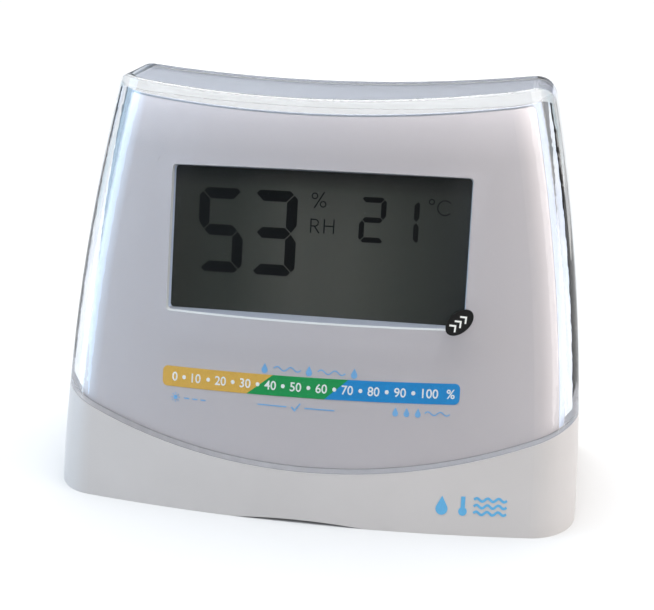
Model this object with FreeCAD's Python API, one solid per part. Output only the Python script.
import FreeCAD, Part

import os
from math import atan, cos, degrees, hypot, sin, sqrt

# Desk thermo-hygrometer with a liquid-crystal display, in millimetres.
# +X is the reader's right, +Y runs from the front to the back, +Z is up.
# The origin is on the table, under the middle of the object's box.

# ---- outer form -------------------------------------------------------------------------------
WIDTH = 98.0            # at the foot
DEPTH = 43.6            # from the foot of the front to the flat back
SADDLE_HEIGHT = 72.8    # top edge, at its lowest, in the middle
LEAN = 0.29             # the front leans back this much per unit of height
SIDE_RADIUS = 317.0     # the sides curve in towards the top
TOP_RADIUS = 315.0      # the top edge sags in the middle
FOOT_BOW = 300.0        # radius of the front at the foot
HEAD_BOW = 180.0        # radius of the front at HEAD_LEVEL
HEAD_LEVEL = 80.0       # just above the object, where the front's upper arc is drawn
CORNER_RADIUS = 9.0     # upright corners at the front
BACK_CORNER_RADIUS = 3.0
SHOULDER_RADIUS = 3.8   # where the sides turn into the top
RIM_RADIUS = 0.6        # rounding of the top edges
INNER_RADIUS = 1.0      # least rounding of the corners inside
OVERSIZE = 6.0          # how far cutting bodies run past the object
THROUGH = 1.0           # how far a cut runs past the wall it goes through
TOUCH = 0.01            # edges this near a surface lie on it

# ---- seams ------------------------------------------------------------------------------------
SEAM_HEIGHT = 8.9       # the curved seam between clear cover and skirt, in the middle
SEAM_RADIUS = 127.0
SEAM_GAP = 0.08
FLANGE_DEPTH = 3.6      # thickness of the rear housing's edge
PART_GAP = 0.1          # between the rear housing and what it closes

# ---- walls ------------------------------------------------------------------------------------
COVER_WALL = 2.4
COVER_TOP_WALL = 2.9
COVER_GAP = 0.15        # between the clear cover and what it covers
FASCIA_WALL = 0.9
FASCIA_GAP = 0.05
FASCIA_SIDE_MARGIN = 1.5
FASCIA_TOP_MARGIN = 0.3
HOUSING_WALL = 1.6
SKIRT_WALL = 2.2
FLOOR_WALL = 2.2
BACK_WALL = 2.4
LIP_WALL = 1.0          # the rear housing's lip, inside the front housing
LIP_LENGTH = 1.8
LIP_GAP = 0.15
FOOT_ARCH_WIDTH = 24.0  # shallow arch under the front edge
FOOT_ARCH_RISE = 0.6
FOOT_ARCH_DEPTH = 14.0

# ---- display ----------------------------------------------------------------------------------
WINDOW_LEVEL = 46.65    # height of the window's centre on the display's face
WINDOW_WIDTH = 54.2
WINDOW_HEIGHT = 26.2
WINDOW_RADIUS = 0.7
WINDOW_SIDE_FLARE = 0.18    # outward slope of the side walls
WINDOW_SILL_FLARE = 0.34    # outward slope of the lower wall
WINDOW_HEAD_FLARE = 0.04
DISPLAY_RECESS = 3.5    # from the fascia's face to the display, in the middle, along Y
GLASS_WIDTH = 59.2
GLASS_HEIGHT = 31.6
GLASS_THICK = 1.1
GLASS_DROP = 0.8        # the glass sits this much below the window's centre
GLASS_GAP = 0.2
CONTACT_LEDGE = 2.6     # strip of the front glass that carries the contacts
POLARISER_THICK = 0.2
POLARISER_MARGIN = 1.0
REFLECTOR_THICK = 0.25
RIB_WALL = 1.2
RIB_LENGTH = 3.4
ZEBRA_WIDTH = 1.9
ZEBRA_MARGIN = 2.0

# ---- main board -------------------------------------------------------------------------------
BOARD_SPACE = 5.2       # from the display's face to the board
BOARD_WIDTH = 61.0
BOARD_TOP = 20.6        # above the window's centre, along the lean
BOARD_FOOT = 22.0       # below the window's centre
BOARD_THICK = 1.2
BOARD_SCREW_X = 27.6
BOARD_SCREW_TOP = 18.2
BOARD_SCREW_FOOT = 19.6
BOARD_BOSS_RADIUS = 2.1
BOARD_SCREW_RADIUS = 0.9
BOARD_SCREW_LENGTH = 4.0
BOARD_HEAD_RADIUS = 1.8
BOARD_HEAD_HEIGHT = 1.3
BOARD_CROSS = (1.1, 0.5, 0.6)
THREAD_GAP = 0.05

# ---- screws that close the case ---------------------------------------------------------------
CASE_SCREWS = ((34.0, 63.0), (40.3, 8.0))    # distance from the middle, and height
CASE_BOSS_RADIUS = 2.8
CASE_SCREW_RADIUS = 1.2
CASE_SCREW_LENGTH = 9.0
CASE_HEAD_RADIUS = 2.3
CASE_HEAD_HEIGHT = 1.5
CASE_HEAD_GAP = 0.2
CASE_SINK = 1.9         # depth of the pockets for the screw heads
CASE_CROSS = (1.4, 0.6, 0.8)    # reach, width and depth of the head's cross

# ---- battery ----------------------------------------------------------------------------------
CELL_RADIUS = 5.25      # AAA cell
CELL_LENGTH = 44.5
CELL_NUB_RADIUS = 1.9
CELL_NUB_LENGTH = 0.8
CELL_EDGE = 0.5         # rounding of the can's ends
CELL_LEVEL = 19.6
CELL_GAP = 0.35
SPRING_SPACE = 3.9
CONTACT_THICK = 0.4
CONTACT_WIDTH = 7.0
CONTACT_TAB = 3.0
CONTACT_TAB_WIDTH = 2.4
SPRING_WIRE = 0.25      # radius of the spring's wire
SPRING_TURNS = 3
SPRING_RADIUS = 3.0
BAY_WALL = 1.2

# ---- battery door -----------------------------------------------------------------------------
DOOR_WIDTH = 61.0
DOOR_HEIGHT = 17.0
DOOR_THICK = 1.4
DOOR_GAP = 0.2
DOOR_SEAT_GAP = 0.1
HOOK_X = 28.2
HOOK_WIDTH = 2.0
HOOK_STEM = 1.2
HOOK_FOOT = 1.6
HOOK_REACH = 2.5
HOOK_NOTCH = 4.5
LATCH_WIDTH = 9.0
LATCH_SLIT = 0.8
LATCH_LENGTH = 6.0
GRIP_RIBS = 4
GRIP_PITCH = 1.2
GRIP_DEPTH = 0.4
GRIP_MARGIN = 0.3

# ---- unit switch ------------------------------------------------------------------------------
SWITCH_LEVEL = 40.0
SWITCH_TRAVEL = 2.0
KNOB_WIDTH = 2.4
KNOB_HEIGHT = 3.0
KNOB_GAP = 0.25
KNOB_SINK = 0.6         # the knob's end lies below the back's surface
KNOB_GROOVES = 3
KNOB_GROOVE = 0.3       # width and depth of a groove
KNOB_PITCH = 0.65
SWITCH_CASE = (9.0, 3.6, 4.4)
SWITCH_PLATE = (11.0, 0.6, 6.0)
SWITCH_BOARD = (17.2, 1.0, 9.0)
SWITCH_POST_RADIUS = 1.4

# ---- vents ------------------------------------------------------------------------------------
VENT_X = 21.0
VENT_LEVEL = 56.0
VENT_HEIGHT = 13.0
VENT_WIDTH = 1.6
VENT_PITCH = 3.2
VENT_COUNT = 6

# ---- parts on the board -----------------------------------------------------------------------
CAP_RADIUS = 6.5
CAP_HEIGHT = 1.7
SENSOR = (9.0, 3.2, 12.0)
SENSOR_LEVEL = -2.0     # the case's foot, from the window's centre
SENSOR_SLOTS = 5
SENSOR_SLOT = (6.0, 0.8, 0.8)
SENSOR_PITCH = 2.0
THERMISTOR_RADIUS = 1.2
THERMISTOR_LEVEL = 6.0
THERMISTOR_REACH = 3.4  # from the board to the bead's middle
LEG_RADIUS = 0.2
LEG_SPREAD = 0.7
CRYSTAL_RADIUS = 1.0
CRYSTAL_LENGTH = 6.0
CRYSTAL_PLACE = (-14.0, -4.0)
CHIP = (1.6, 0.7, 0.9)
CAPACITOR_X = (-8.0, -4.0, 4.0, 8.0)
CAPACITOR_LEVEL = -10.0
RESISTOR_X = (-9.0, -5.5, -2.0, 2.0, 5.5, 9.0)
RESISTOR_LEVEL = 11.0
SOLDER_GAP = 0.05

# ---- leads ------------------------------------------------------------------------------------
LEAD_RADIUS = 0.55      # insulated wire from the battery
THIN_LEAD_RADIUS = 0.275
LEAD_BEND = 0.45        # share of the shorter run that a bend takes up
LEAD_PAD_X = 20.0
LEAD_PAD_RISE = 3.0     # above the board's foot
LEAD_SAG = 3.0
LEAD_SLACK = 5.0        # how far a lead stands off the board
LEAD_START = 4.0
SWITCH_LEAD_X = (-3.0, 0.0, 3.0)
SWITCH_PAD_LEVEL = -14.0
SWITCH_LEAD_START = 3.0
SWITCH_LEAD_SLACK = 2.0

# ---- film on the cover ------------------------------------------------------------------------
FILM_THICK = 0.12
FILM_WIDTH = 60.0
FILM_HEIGHT = 31.0
FILM_RADIUS = 2.0
TAB_THICK = 0.2
TAB_LONG = 2.75         # half-axes of the oval tab
TAB_SHORT = 1.75
TAB_X = 26.7
TAB_LEVEL = 36.3
TAB_TURN = 40.0         # degrees

# ---- derived ----------------------------------------------------------------------------------
HALF = WIDTH / 2
FRONT = -DEPTH / 2
BACK = DEPTH / 2
PARTING = BACK - FLANGE_DEPTH
COVERED = COVER_WALL + COVER_GAP                    # from the outer form to the inner case
COVERED_TOP = COVER_TOP_WALL + COVER_GAP
FASCIA_BACK = COVERED + FASCIA_WALL + FASCIA_GAP
SIDE_INSIDE = COVERED + HOUSING_WALL
TOP_INSIDE = COVERED_TOP + HOUSING_WALL
FRONT_INSIDE = FASCIA_BACK + HOUSING_WALL
DISPLAY_DEPTH = COVERED + DISPLAY_RECESS
TILT = atan(LEAN)
BACK_INSIDE = BACK - BACK_WALL
FAR = WIDTH + 2 * OVERSIZE
GLASS_TOP = GLASS_HEIGHT / 2 - GLASS_DROP
GLASS_FOOT = -GLASS_HEIGHT / 2 - GLASS_DROP
BOARD_BACK = BOARD_SPACE + BOARD_THICK
BAY_HALF = (CELL_LENGTH + SPRING_SPACE) / 2 + CONTACT_THICK
BAY_RADIUS = CELL_RADIUS + CELL_GAP
CELL_Y = BACK - DOOR_THICK - DOOR_SEAT_GAP - CELL_GAP - CELL_RADIUS
BAY_FRONT = CELL_Y - BAY_RADIUS
DOOR_FOOT = CELL_LEVEL - DOOR_HEIGHT / 2
DOOR_AXIS_Y = BACK - DOOR_THICK / 2
DOOR_AXIS_Z = DOOR_FOOT + DOOR_THICK / 2

Vec = FreeCAD.Vector
ALONG_X = Vec(1, 0, 0)
ALONG_Y = Vec(0, 1, 0)
ALONG_Z = Vec(0, 0, 1)


# ---- shapes used throughout -------------------------------------------------------------------
def box(x0, x1, y0, y1, z0, z1):
    return Part.makeBox(x1 - x0, y1 - y0, z1 - z0, Vec(x0, y0, z0))


def rod(radius, y0, y1, x, z):
    """A cylinder that runs from front to back."""
    return Part.makeCylinder(radius, y1 - y0, Vec(x, y0, z), ALONG_Y)


def fuse(shapes):
    first, *rest = shapes
    return first.multiFuse(rest).removeSplitter() if rest else first


def screw(head, shank, cross, seat, x, z):
    """A cross-head screw driven in from behind; head and shank are a radius and a length."""
    head_radius, head_height = head
    radius, length = shank
    reach, width, depth = cross
    top = seat + head_height
    solid = rod(head_radius, seat, top, x, z).fuse(rod(radius, seat - length, seat, x, z))
    for half_x, half_z in ((reach, width / 2), (width / 2, reach)):
        solid = solid.cut(box(x - half_x, x + half_x, top - depth, top, z - half_z, z + half_z))
    return solid.removeSplitter()


def arc(a, b, c):
    return Part.Arc(Vec(*a), Vec(*b), Vec(*c)).toShape()


def line(a, b):
    return Part.LineSegment(Vec(*a), Vec(*b)).toShape()


def rounded_wire(x0, x1, z0, z1, radius, y):
    """A rounded rectangle that faces the reader, in the plane at y."""
    r = radius
    k = radius * (1 - sqrt(0.5))
    edges = [
        line((x0 + r, y, z0), (x1 - r, y, z0)),
        arc((x1 - r, y, z0), (x1 - k, y, z0 + k), (x1, y, z0 + r)),
        line((x1, y, z0 + r), (x1, y, z1 - r)),
        arc((x1, y, z1 - r), (x1 - k, y, z1 - k), (x1 - r, y, z1)),
        line((x1 - r, y, z1), (x0 + r, y, z1)),
        arc((x0 + r, y, z1), (x0 + k, y, z1 - k), (x0, y, z1 - r)),
        line((x0, y, z1 - r), (x0, y, z0 + r)),
        arc((x0, y, z0 + r), (x0 + k, y, z0 + k), (x0 + r, y, z0)),
    ]
    return Part.Wire(edges)


def rounded_slab(x0, x1, y0, y1, z0, z1, radius):
    face = Part.Face(rounded_wire(x0, x1, z0, z1, radius, y0))
    return face.extrude(Vec(0, y1 - y0, 0))


def leaning(shape):
    """Moves a shape drawn upright, about the window's centre, onto the leaning display."""
    shape = shape.copy()
    shape.rotate(Vec(0, 0, 0), ALONG_X, -degrees(TILT))
    shape.translate(Vec(0, FRONT + LEAN * WINDOW_LEVEL + DISPLAY_DEPTH, WINDOW_LEVEL))
    return shape


# ---- the outer form and its offsets -----------------------------------------------------------
def bow(radius, x):
    return radius - sqrt(radius * radius - x * x)


def front_outline(level, radius, inset):
    """The form's outline seen from above, at one height."""
    reach = HALF + OVERSIZE
    middle = FRONT + LEAN * level + inset
    end = middle + bow(radius, reach)
    corners = [(-reach, end, level), (0, middle, level), (reach, end, level)]
    back = [(reach, BACK, level), (-reach, BACK, level)]
    edges = [arc(*corners), line(corners[2], back[0]), line(back[0], back[1]), line(back[1], corners[0])]
    return Part.Wire(edges)


def side_limits(inset):
    """The block between the two curved sides."""
    radius = SIDE_RADIUS - inset
    centre = HALF - SIDE_RADIUS

    def edge_x(level):
        return centre + sqrt(radius * radius - level * level)

    foot, middle, head = edge_x(0), edge_x(HEAD_LEVEL / 2), edge_x(HEAD_LEVEL)
    start = FRONT - OVERSIZE
    edges = [
        line((-foot, start, 0), (foot, start, 0)),
        arc((foot, start, 0), (middle, start, HEAD_LEVEL / 2), (head, start, HEAD_LEVEL)),
        line((head, start, HEAD_LEVEL), (-head, start, HEAD_LEVEL)),
        arc((-head, start, HEAD_LEVEL), (-middle, start, HEAD_LEVEL / 2), (-foot, start, 0)),
    ]
    return Part.Face(Part.Wire(edges)).extrude(Vec(0, DEPTH + 2 * OVERSIZE, 0))


def above_top(inset):
    """Everything above the sagging top edge."""
    centre = SADDLE_HEIGHT + TOP_RADIUS
    return rod(TOP_RADIUS + inset, FRONT - OVERSIZE, BACK + OVERSIZE, 0, centre)


def is_upright(edge, at_front):
    ahead_of_back = edge.CenterOfMass.y < BACK - TOUCH
    return edge.BoundBox.ZLength > SADDLE_HEIGHT and ahead_of_back == at_front


def form(front, side, top, corner=0.0, back_corner=0.0):
    """The outer form, moved inwards by front (along Y), side and top."""
    ends = [front_outline(0, FOOT_BOW, front), front_outline(HEAD_LEVEL, HEAD_BOW, front)]
    solid = Part.makeLoft(ends, True, True).common(side_limits(side))
    for radius, at_front in ((corner, True), (back_corner, False)):
        if radius > 0:
            uprights = [edge for edge in solid.Edges if is_upright(edge, at_front)]
            solid = solid.makeFillet(radius, uprights)
    return solid.cut(above_top(top))


def shoulders(side, top, radius):
    """The block between the sides and under the top edge, rounded where they meet."""
    block = side_limits(side).cut(above_top(top))
    edges = [edge for edge in block.Edges if is_shoulder(edge)]
    return block.makeFillet(radius, edges)


def is_shoulder(edge):
    return edge.BoundBox.YLength > DEPTH and edge.CenterOfMass.z > SADDLE_HEIGHT / 2


def on_rim(edge):
    centre = SADDLE_HEIGHT + TOP_RADIUS
    points = edge.discretize(3)
    return all(abs(hypot(p.x, p.z - centre) - TOP_RADIUS) < TOUCH for p in points)


def outer_form():
    solid = form(0, 0, 0, CORNER_RADIUS, BACK_CORNER_RADIUS)
    solid = solid.makeFillet(RIM_RADIUS, [edge for edge in solid.Edges if on_rim(edge)])
    return solid.common(shoulders(0, 0, SHOULDER_RADIUS))


def inner_form(front, side, top):
    solid = form(front, side, top, max(CORNER_RADIUS - side, INNER_RADIUS))
    return solid.common(shoulders(side, top, max(SHOULDER_RADIUS - side, INNER_RADIUS)))


def above_seam(clearance):
    centre = SEAM_HEIGHT + SEAM_RADIUS
    return rod(SEAM_RADIUS - clearance, FRONT - OVERSIZE, BACK + OVERSIZE, 0, centre)


def between(shape, y0, y1):
    return shape.common(box(-FAR, FAR, y0, y1, -FAR, FAR))


# ---- window and display seat ------------------------------------------------------------------
def window_cut():
    """The window's sloping walls, drawn upright about its centre."""
    half_x = WINDOW_WIDTH / 2
    half_z = WINDOW_HEIGHT / 2
    reach = DISPLAY_DEPTH
    behind = RIB_LENGTH

    def outline(y):
        side = half_x - WINDOW_SIDE_FLARE * y
        sill = -half_z + WINDOW_SILL_FLARE * y
        head = half_z - WINDOW_HEAD_FLARE * y
        return rounded_wire(-side, side, sill, head, WINDOW_RADIUS, y)

    funnel = Part.makeLoft([outline(-reach), outline(0)], True, True)
    tail = Part.Face(outline(0)).extrude(Vec(0, behind, 0))
    return leaning(funnel.fuse(tail))


def glass_outline(gap, y0, y1, foot=GLASS_FOOT):
    half = GLASS_WIDTH / 2 + gap
    return box(-half, half, y0, y1, foot - gap, GLASS_TOP + gap)


def board_screw_places():
    return [(x, z) for x in (-BOARD_SCREW_X, BOARD_SCREW_X) for z in (BOARD_SCREW_TOP, -BOARD_SCREW_FOOT)]


def case_screw_places():
    return [(sign * x, z) for x, z in CASE_SCREWS for sign in (-1, 1)]


# ---- case -------------------------------------------------------------------------------------
def clear_cover(outer):
    shell = outer.cut(inner_form(COVER_WALL, COVER_WALL, COVER_TOP_WALL))
    shell = between(shell, FRONT - OVERSIZE, PARTING - PART_GAP)
    return shell.common(above_seam(SEAM_GAP))


def fascia_blank(grow):
    """The silver panel's space, with the panel grown by a clearance at its back and edges."""
    face = inner_form(COVERED, COVERED, 0)
    back = inner_form(COVERED + FASCIA_WALL + grow, COVERED + FASCIA_WALL + grow, -OVERSIZE / 2)
    side = COVERED + FASCIA_SIDE_MARGIN
    corner = max(SHOULDER_RADIUS - side, INNER_RADIUS)
    limits = shoulders(side - grow, COVERED_TOP + FASCIA_TOP_MARGIN - grow, corner)
    return between(face.cut(back).common(limits), FRONT - OVERSIZE, PARTING)


def fascia_panel():
    return fascia_blank(0).common(above_seam(SEAM_GAP)).cut(window_cut())


def display_ribs():
    """The wall round the display, and the posts that carry the board."""
    outer = glass_outline(GLASS_GAP + RIB_WALL, -DISPLAY_DEPTH, RIB_LENGTH)
    posts = [rod(BOARD_BOSS_RADIUS, 0, BOARD_SPACE - SOLDER_GAP, x, z) for x, z in board_screw_places()]
    return [leaning(shape) for shape in [outer] + posts]


def foot_arch():
    radius = (FOOT_ARCH_WIDTH ** 2 / 4 + FOOT_ARCH_RISE ** 2) / (2 * FOOT_ARCH_RISE)
    return rod(radius, FRONT - OVERSIZE, FRONT + FOOT_ARCH_DEPTH, 0, FOOT_ARCH_RISE - radius)


def front_housing(outer):
    """White case: the skirt outside, and the walls behind the fascia and under the cover."""
    skirt = outer.cut(above_seam(0))
    inner = inner_form(COVERED, COVERED, COVERED_TOP)
    block = between(skirt.fuse(inner), FRONT - OVERSIZE, PARTING - PART_GAP)
    block = block.cut(fascia_blank(FASCIA_GAP).common(above_seam(-SEAM_GAP)))

    hollow = inner_form(FRONT_INSIDE, SIDE_INSIDE, TOP_INSIDE)
    wide = inner_form(SKIRT_WALL, SKIRT_WALL, SKIRT_WALL).cut(above_seam(-SKIRT_WALL))
    hollow = hollow.fuse(wide).common(box(-FAR, FAR, FRONT, BACK + OVERSIZE, FLOOR_WALL, FAR))
    bosses = [rod(CASE_BOSS_RADIUS, FRONT, PARTING - PART_GAP, x, z) for x, z in case_screw_places()]
    inserts = [shape.common(block) for shape in display_ribs() + bosses]
    shell = block.cut(hollow).multiFuse(inserts)

    shell = shell.cut(leaning(glass_outline(GLASS_GAP, -SOLDER_GAP, BOARD_SPACE)))
    shell = shell.cut(window_cut()).cut(foot_arch())
    pilot = BOARD_SCREW_RADIUS + THREAD_GAP
    depth = BOARD_SCREW_LENGTH - BOARD_THICK + THREAD_GAP
    for x, z in board_screw_places():
        shell = shell.cut(leaning(rod(pilot, BOARD_SPACE - depth, BOARD_SPACE, x, z)))
    tip = BACK - CASE_SINK - CASE_SCREW_LENGTH - THREAD_GAP
    for x, z in case_screw_places():
        shell = shell.cut(rod(CASE_SCREW_RADIUS + THREAD_GAP, tip, PARTING, x, z))
    return shell.removeSplitter()


def vent_slot(x):
    half = VENT_WIDTH / 2
    foot = VENT_LEVEL - VENT_HEIGHT / 2 + half
    head = VENT_LEVEL + VENT_HEIGHT / 2 - half
    y0, y1 = BACK_INSIDE - THROUGH, BACK + THROUGH
    return fuse([box(x - half, x + half, y0, y1, foot, head),
                 rod(half, y0, y1, x, foot), rod(half, y0, y1, x, head)])


def vents():
    first = VENT_X - VENT_PITCH * (VENT_COUNT - 1) / 2
    places = [first + index * VENT_PITCH for index in range(VENT_COUNT)]
    return [vent_slot(sign * x) for sign in (-1, 1) for x in places]


def cell_bay(grow, y0):
    """The trough that the cell lies in, open at the back."""
    half = BAY_HALF + grow
    radius = BAY_RADIUS + grow
    trough = Part.makeCylinder(radius, 2 * half, Vec(-half, CELL_Y, CELL_LEVEL), ALONG_X)
    mouth = box(-half, half, CELL_Y, y0, CELL_LEVEL - radius, CELL_LEVEL + radius)
    return trough.fuse(mouth).removeSplitter()


def contact_slots(gap):
    """Where the contact plates stand, one at each end of the cell."""
    slots = []
    half = CONTACT_WIDTH / 2 + gap
    for sign in (-1, 1):
        inner = sign * (BAY_HALF - CONTACT_THICK - gap)
        outer = sign * (BAY_HALF + gap)
        x0, x1 = sorted((inner, outer))
        slots.append(box(x0, x1, BAY_FRONT - BAY_WALL - CONTACT_TAB - gap, CELL_Y + half,
                         CELL_LEVEL - half, CELL_LEVEL + half))
    return slots


def rear_housing(outer):
    """White back: flange, lip, battery bay, screw pockets, vents and switch slot."""
    flange = between(outer, PARTING, BACK + OVERSIZE)
    lip = LIP_GAP + LIP_WALL
    pocket = inner_form(FRONT_INSIDE, SIDE_INSIDE + lip, TOP_INSIDE + lip)
    pocket = pocket.common(box(-FAR, FAR, FRONT, BACK_INSIDE, FLOOR_WALL + lip, FAR))
    lip = inner_form(FRONT_INSIDE, SIDE_INSIDE + LIP_GAP, TOP_INSIDE + LIP_GAP)
    lip = lip.common(box(-FAR, FAR, PARTING - LIP_LENGTH, PARTING, FLOOR_WALL + LIP_GAP, FAR))
    for x, z in case_screw_places():
        lip = lip.cut(rod(CASE_BOSS_RADIUS + LIP_GAP, FRONT, PARTING, x, z))
    shell = flange.fuse(lip).cut(pocket)

    pads = [rod(CASE_BOSS_RADIUS, PARTING, BACK_INSIDE, x, z) for x, z in case_screw_places()]
    shell = shell.multiFuse(pads + [cell_bay(BAY_WALL, BACK_INSIDE)] + switch_posts())
    shell = shell.cut(cell_bay(0, BACK + THROUGH))
    seat = DOOR_THICK + DOOR_SEAT_GAP
    half = DOOR_WIDTH / 2 + DOOR_GAP
    shell = shell.cut(box(-half, half, BACK - seat, BACK + THROUGH,
                          DOOR_FOOT - DOOR_GAP, DOOR_FOOT + DOOR_HEIGHT + DOOR_GAP))
    for sign in (-1, 1):
        middle = sign * HOOK_X
        reach = HOOK_WIDTH / 2 + DOOR_GAP
        shell = shell.cut(box(middle - reach, middle + reach, BACK_INSIDE - THROUGH, BACK,
                              DOOR_FOOT - DOOR_GAP, DOOR_FOOT + HOOK_NOTCH))
    for slot in contact_slots(SOLDER_GAP):
        shell = shell.cut(slot)
    for x, z in case_screw_places():
        shell = shell.cut(rod(CASE_SCREW_RADIUS + CASE_HEAD_GAP, PARTING - THROUGH, BACK, x, z))
        shell = shell.cut(rod(CASE_HEAD_RADIUS + CASE_HEAD_GAP, BACK - CASE_SINK, BACK + THROUGH, x, z))
    for slot in vents() + [switch_slot()]:
        shell = shell.cut(slot)
    return shell.removeSplitter()


def housing_screws():
    head = (CASE_HEAD_RADIUS, CASE_HEAD_HEIGHT)
    shank = (CASE_SCREW_RADIUS, CASE_SCREW_LENGTH)
    seat = BACK - CASE_SINK
    return Part.makeCompound([screw(head, shank, CASE_CROSS, seat, x, z) for x, z in case_screw_places()])


# ---- battery and its door ---------------------------------------------------------------------
def battery_cell():
    """The cell lies along X with its nub to the reader's right."""
    nub_end = BAY_HALF - CONTACT_THICK
    can_end = nub_end - CELL_NUB_LENGTH
    can_length = CELL_LENGTH - CELL_NUB_LENGTH
    can = Part.makeCylinder(CELL_RADIUS, can_length, Vec(can_end - can_length, CELL_Y, CELL_LEVEL), ALONG_X)
    can = can.makeFillet(CELL_EDGE, [edge for edge in can.Edges if isinstance(edge.Curve, Part.Circle)])
    nub = Part.makeCylinder(CELL_NUB_RADIUS, CELL_NUB_LENGTH, Vec(can_end, CELL_Y, CELL_LEVEL), ALONG_X)
    return can.fuse(nub)


def contact_plate(sign):
    half = CONTACT_WIDTH / 2
    x0, x1 = sorted((sign * (BAY_HALF - CONTACT_THICK), sign * BAY_HALF))
    plate = box(x0, x1, CELL_Y - half, CELL_Y + half, CELL_LEVEL - half, CELL_LEVEL + half)
    tab = box(x0, x1, BAY_FRONT - BAY_WALL - CONTACT_TAB, CELL_Y - half,
              CELL_LEVEL - CONTACT_TAB_WIDTH / 2, CELL_LEVEL + CONTACT_TAB_WIDTH / 2)
    return plate.fuse(tab).removeSplitter()


def spring_contact():
    """The plate at the cell's flat end, with its coil."""
    start = -BAY_HALF + CONTACT_THICK - SPRING_WIRE / 2
    length = SPRING_SPACE - SPRING_WIRE
    helix = Part.makeHelix(length / SPRING_TURNS, length, SPRING_RADIUS)
    section = Part.Wire(Part.makeCircle(SPRING_WIRE, Vec(SPRING_RADIUS, 0, 0), ALONG_Y))
    coil = Part.Wire(helix.Edges).makePipeShell([section], True, True)
    coil.rotate(Vec(0, 0, 0), ALONG_Y, 90)
    coil.translate(Vec(start, CELL_Y, CELL_LEVEL))
    return contact_plate(-1).fuse(coil)


def plate_contact():
    return contact_plate(1)


def battery_door():
    """The door turns about its rounded lower edge; two hooks hold it in the back wall."""
    half = DOOR_WIDTH / 2
    top = DOOR_FOOT + DOOR_HEIGHT
    plate = box(-half, half, BACK - DOOR_THICK, BACK, DOOR_AXIS_Z, top)
    roll = Part.makeCylinder(DOOR_THICK / 2, DOOR_WIDTH, Vec(-half, DOOR_AXIS_Y, DOOR_AXIS_Z), ALONG_X)
    pieces = [plate, roll]
    for sign in (-1, 1):
        x0 = sign * HOOK_X - HOOK_WIDTH / 2
        x1 = x0 + HOOK_WIDTH
        reach = BACK - DOOR_THICK - HOOK_REACH
        stem_foot = DOOR_FOOT + DOOR_GAP
        pieces.append(box(x0, x1, reach, BACK - DOOR_THICK / 2, stem_foot, stem_foot + HOOK_STEM))
        pieces.append(box(x0, x1, reach, BACK_INSIDE - DOOR_GAP,
                          DOOR_FOOT - HOOK_FOOT, stem_foot + HOOK_STEM))
    door = fuse(pieces)
    slit_foot = top - LATCH_LENGTH
    for sign in (-1, 1):
        x0 = sign * LATCH_WIDTH / 2 - LATCH_SLIT / 2
        door = door.cut(box(x0, x0 + LATCH_SLIT, BACK - DOOR_THICK - THROUGH, BACK + THROUGH,
                            slit_foot, top + THROUGH))
    half_grip = LATCH_WIDTH / 2 - LATCH_SLIT - GRIP_MARGIN
    for index in range(GRIP_RIBS):
        z0 = top - GRIP_PITCH * (index + 1)
        door = door.cut(box(-half_grip, half_grip, BACK - GRIP_DEPTH, BACK + THROUGH,
                            z0, z0 + GRIP_PITCH / 2))
    return door


# ---- unit switch ------------------------------------------------------------------------------
def centred_block(size, y0, level):
    width, depth, height = size
    return box(-width / 2, width / 2, y0, y0 + depth, level - height / 2, level + height / 2)


def switch_plate_y():
    return BACK_INSIDE - SOLDER_GAP - SWITCH_PLATE[1]


def switch_slot():
    half = (KNOB_WIDTH + SWITCH_TRAVEL) / 2 + KNOB_GAP
    tall = KNOB_HEIGHT / 2 + KNOB_GAP
    return box(-half, half, BACK_INSIDE - THROUGH, BACK + THROUGH, SWITCH_LEVEL - tall, SWITCH_LEVEL + tall)


def knob_block(gap, travel):
    """The knob's stem, at rest at the reader's left end of its travel."""
    half = KNOB_WIDTH / 2
    centre = -SWITCH_TRAVEL / 2
    y0 = switch_plate_y() - SWITCH_CASE[1] / 2
    return box(centre - half - gap, centre + half + gap + travel, y0 - gap, BACK - KNOB_SINK + gap,
               SWITCH_LEVEL - KNOB_HEIGHT / 2 - gap, SWITCH_LEVEL + KNOB_HEIGHT / 2 + gap)


def unit_switch_knob():
    knob = knob_block(0, 0)
    end = BACK - KNOB_SINK
    first = -(SWITCH_TRAVEL + KNOB_GROOVE + KNOB_PITCH * (KNOB_GROOVES - 1)) / 2
    for index in range(KNOB_GROOVES):
        x0 = first + index * KNOB_PITCH
        knob = knob.cut(box(x0, x0 + KNOB_GROOVE, end - KNOB_GROOVE, BACK, -FAR, FAR))
    return knob


def unit_switch_case():
    body = centred_block(SWITCH_CASE, switch_plate_y() - SWITCH_CASE[1], SWITCH_LEVEL)
    plate = centred_block(SWITCH_PLATE, switch_plate_y(), SWITCH_LEVEL)
    return body.fuse(plate).removeSplitter().cut(knob_block(KNOB_GAP / 2, SWITCH_TRAVEL))


def switch_board_y():
    return switch_plate_y() - SWITCH_CASE[1] - SOLDER_GAP - SWITCH_BOARD[1]


def switch_posts():
    x = SWITCH_BOARD[0] / 2 - SWITCH_POST_RADIUS
    posts = []
    for sign in (-1, 1):
        y0 = switch_board_y() + SWITCH_BOARD[1] + SOLDER_GAP
        posts.append(rod(SWITCH_POST_RADIUS, y0, BACK_INSIDE, sign * x, SWITCH_LEVEL))
    return posts


def unit_switch_board():
    return centred_block(SWITCH_BOARD, switch_board_y(), SWITCH_LEVEL)


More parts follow.
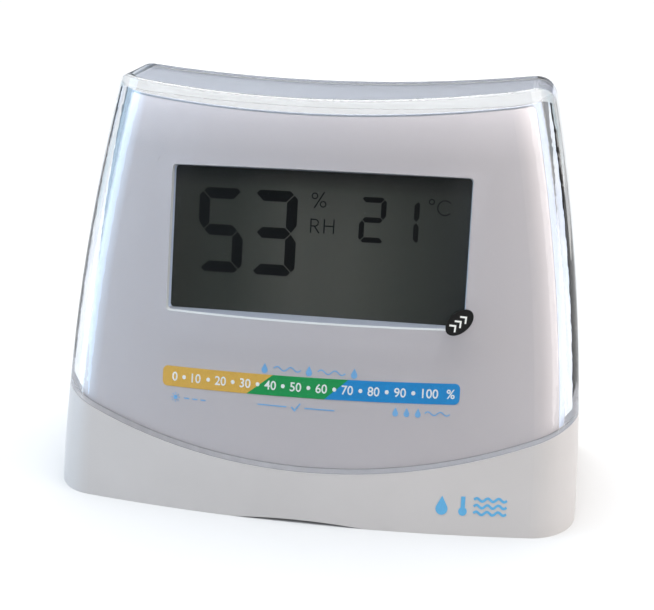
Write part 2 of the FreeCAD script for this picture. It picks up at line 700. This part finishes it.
# ---- display and board ------------------------------------------------------------------------
def glass_layers():
    """Front polariser, front glass, rear glass and reflector, from the front backwards."""
    half = GLASS_WIDTH / 2 - POLARISER_MARGIN
    rear_foot = GLASS_FOOT + CONTACT_LEDGE
    film_foot = rear_foot + POLARISER_MARGIN / 2
    film_top = GLASS_TOP - POLARISER_MARGIN / 2
    y1 = POLARISER_THICK
    y2 = y1 + GLASS_THICK
    y3 = y2 + GLASS_THICK
    y4 = y3 + REFLECTOR_THICK
    return {
        "front_polariser": leaning(box(-half, half, 0, y1, film_foot, film_top)),
        "lcd_front_glass": leaning(glass_outline(0, y1, y2)),
        "lcd_rear_glass": leaning(glass_outline(0, y2, y3, rear_foot)),
        "rear_reflector": leaning(box(-half, half, y3, y4, film_foot, film_top)),
    }


def zebra_strip():
    y0 = POLARISER_THICK + GLASS_THICK
    half = GLASS_WIDTH / 2 - ZEBRA_MARGIN
    foot = GLASS_FOOT + (CONTACT_LEDGE - ZEBRA_WIDTH) / 2
    return leaning(box(-half, half, y0, BOARD_SPACE, foot, foot + ZEBRA_WIDTH))


def main_board():
    half = BOARD_WIDTH / 2
    board = box(-half, half, BOARD_SPACE, BOARD_BACK, -BOARD_FOOT, BOARD_TOP)
    for x, z in board_screw_places():
        board = board.cut(rod(BOARD_SCREW_RADIUS + THREAD_GAP, 0, BOARD_BACK + THROUGH, x, z))
    return leaning(board)


def board_screws():
    head = (BOARD_HEAD_RADIUS, BOARD_HEAD_HEIGHT)
    shank = (BOARD_SCREW_RADIUS, BOARD_SCREW_LENGTH - THREAD_GAP)
    return Part.makeCompound([leaning(screw(head, shank, BOARD_CROSS, BOARD_BACK, x, z))
                              for x, z in board_screw_places()])


def controller_cap():
    """The resin cap over the controller, a shallow dome."""
    radius = (CAP_RADIUS ** 2 + CAP_HEIGHT ** 2) / (2 * CAP_HEIGHT)
    ball = Part.makeSphere(radius, Vec(0, BOARD_BACK + CAP_HEIGHT - radius, 0))
    return leaning(ball.common(box(-FAR, FAR, BOARD_BACK, FAR, -FAR, FAR)))


def humidity_sensor():
    """A slotted box that lets the air reach the sensing film."""
    width, depth, height = SENSOR
    slot_width, slot_depth, slot_height = SENSOR_SLOT
    face = BOARD_BACK + depth
    case = box(VENT_X - width / 2, VENT_X + width / 2, BOARD_BACK, face,
               SENSOR_LEVEL, SENSOR_LEVEL + height)
    first = SENSOR_LEVEL + (height - SENSOR_PITCH * (SENSOR_SLOTS - 1) - slot_height) / 2
    for index in range(SENSOR_SLOTS):
        z0 = first + index * SENSOR_PITCH
        case = case.cut(box(VENT_X - slot_width / 2, VENT_X + slot_width / 2, face - slot_depth, face,
                            z0, z0 + slot_height))
    return leaning(case)


def thermistor():
    middle = BOARD_BACK + THERMISTOR_REACH
    bead = Part.makeSphere(THERMISTOR_RADIUS, Vec(-VENT_X, middle, THERMISTOR_LEVEL))
    legs = [rod(LEG_RADIUS, BOARD_BACK, middle, -VENT_X + side, THERMISTOR_LEVEL)
            for side in (-LEG_SPREAD, LEG_SPREAD)]
    return leaning(bead.multiFuse(legs))


def crystal_can():
    x, z = CRYSTAL_PLACE
    place = Vec(x, BOARD_BACK + CRYSTAL_RADIUS, z)
    return leaning(Part.makeCylinder(CRYSTAL_RADIUS, CRYSTAL_LENGTH, place, ALONG_Z))


def chips(places, level):
    """A row of small parts soldered to the board's back."""
    width, depth, height = CHIP
    blocks = [box(x - width / 2, x + width / 2, BOARD_BACK, BOARD_BACK + depth,
                  level - height / 2, level + height / 2) for x in places]
    return Part.makeCompound([leaning(block) for block in blocks])


# ---- leads ------------------------------------------------------------------------------------
def tube(points, radius):
    """A round wire along straight runs, joined by tangent arcs."""
    points = [Vec(*point) for point in points]
    edges = []
    start = points[0]
    for before, corner, after in zip(points, points[1:], points[2:]):
        back = (before - corner).normalize()
        ahead = (after - corner).normalize()
        reach = LEAD_BEND * min(before.distanceToPoint(corner), after.distanceToPoint(corner))
        first = corner + back * reach
        last = corner + ahead * reach
        half_turn = back.getAngle(ahead) / 2
        bend = reach * sin(half_turn) / cos(half_turn)
        centre = corner + (back + ahead).normalize() * (bend / sin(half_turn))
        middle = centre + (corner - centre).normalize() * bend
        edges.append(Part.LineSegment(start, first).toShape())
        edges.append(Part.Arc(first, middle, last).toShape())
        start = last
    edges.append(Part.LineSegment(start, points[-1]).toShape())
    path = Part.Wire(edges)
    section = Part.Wire(Part.makeCircle(radius, points[0], points[1] - points[0]))
    return path.makePipeShell([section], True, False)


def board_point(x, z):
    """A place on the back of the board, in the object's own axes."""
    down = BOARD_BACK * cos(TILT) + z * sin(TILT)
    level = WINDOW_LEVEL + z * cos(TILT) - BOARD_BACK * sin(TILT)
    return (x, FRONT + LEAN * WINDOW_LEVEL + DISPLAY_DEPTH + down, level)


def battery_lead(sign):
    """From a contact's tab up to the foot of the board."""
    tab_y = BAY_FRONT - BAY_WALL - CONTACT_TAB - LEAD_RADIUS
    x = sign * (BAY_HALF - CONTACT_THICK / 2)
    end_x, end_y, end_z = board_point(sign * LEAD_PAD_X, -BOARD_FOOT + LEAD_PAD_RISE)
    return tube([(x, tab_y, CELL_LEVEL), (x, tab_y - LEAD_START, CELL_LEVEL + LEAD_RADIUS),
                 (end_x, end_y + LEAD_SLACK, end_z - LEAD_SAG),
                 (end_x, end_y + LEAD_RADIUS, end_z)], LEAD_RADIUS)


def switch_lead(x):
    """From the switch's board to the main board."""
    end_x, end_y, end_z = board_point(x, SWITCH_PAD_LEVEL)
    start_y = switch_board_y() - THIN_LEAD_RADIUS / 2
    return tube([(x, start_y, SWITCH_LEVEL), (x, start_y - SWITCH_LEAD_START, SWITCH_LEVEL),
                 (end_x, end_y + SWITCH_LEAD_SLACK, end_z),
                 (end_x, end_y + SOLDER_GAP, end_z)], THIN_LEAD_RADIUS)


# ---- film and tab -----------------------------------------------------------------------------
def on_front(inset_out, inset_in, outline):
    """A sheet on the bowed front face, cut to an outline that runs along Y."""
    sheet = form(-inset_out, 0, 0).cut(form(-inset_in, 0, 0))
    return sheet.common(outline)


def display_film():
    outline = rounded_slab(-FILM_WIDTH / 2, FILM_WIDTH / 2, FRONT - THROUGH, BACK_INSIDE,
                           WINDOW_LEVEL - FILM_HEIGHT / 2, WINDOW_LEVEL + FILM_HEIGHT / 2, FILM_RADIUS)
    return on_front(FILM_THICK, 0, outline)


def lift_tab():
    ellipse = Part.Ellipse(Vec(0, 0, 0), TAB_LONG, TAB_SHORT).toShape()
    face = Part.Face(Part.Wire(ellipse))
    face.rotate(Vec(0, 0, 0), ALONG_X, 90)
    face.rotate(Vec(0, 0, 0), ALONG_Y, -TAB_TURN)
    face.translate(Vec(TAB_X, FRONT - THROUGH, TAB_LEVEL))
    return on_front(FILM_THICK + TAB_THICK, FILM_THICK, face.extrude(Vec(0, BACK, 0)))


def build():
    outer = outer_form()
    nodes = {
        "clear_cover": clear_cover(outer),
        "fascia_panel": fascia_panel(),
        "front_housing": front_housing(outer),
        "rear_housing": rear_housing(outer),
        "housing_screws": housing_screws(),
        "battery_cell": battery_cell(),
        "spring_contact": spring_contact(),
        "plate_contact": plate_contact(),
        "battery_door": battery_door(),
        "unit_switch_knob": unit_switch_knob(),
        "unit_switch_case": unit_switch_case(),
        "unit_switch_board": unit_switch_board(),
        "zebra_strip": zebra_strip(),
        "main_board": main_board(),
        "board_screws": board_screws(),
        "controller_cap": controller_cap(),
        "humidity_sensor": humidity_sensor(),
        "thermistor": thermistor(),
        "crystal_can": crystal_can(),
        "chip_capacitors": chips(CAPACITOR_X, CAPACITOR_LEVEL),
        "chip_resistors": chips(RESISTOR_X, RESISTOR_LEVEL),
        "positive_lead": battery_lead(1),
        "negative_lead": battery_lead(-1),
        "switch_leads": Part.makeCompound([switch_lead(x) for x in SWITCH_LEAD_X]),
        "display_film": display_film(),
        "lift_tab": lift_tab(),
    }
    nodes.update(glass_layers())
    return nodes


os.makedirs("parts", exist_ok=True)
for name, shape in build().items():
    shape.exportStep("parts/" + name + ".step")
    print(name, len(shape.Solids), round(shape.Volume, 2), shape.isValid())
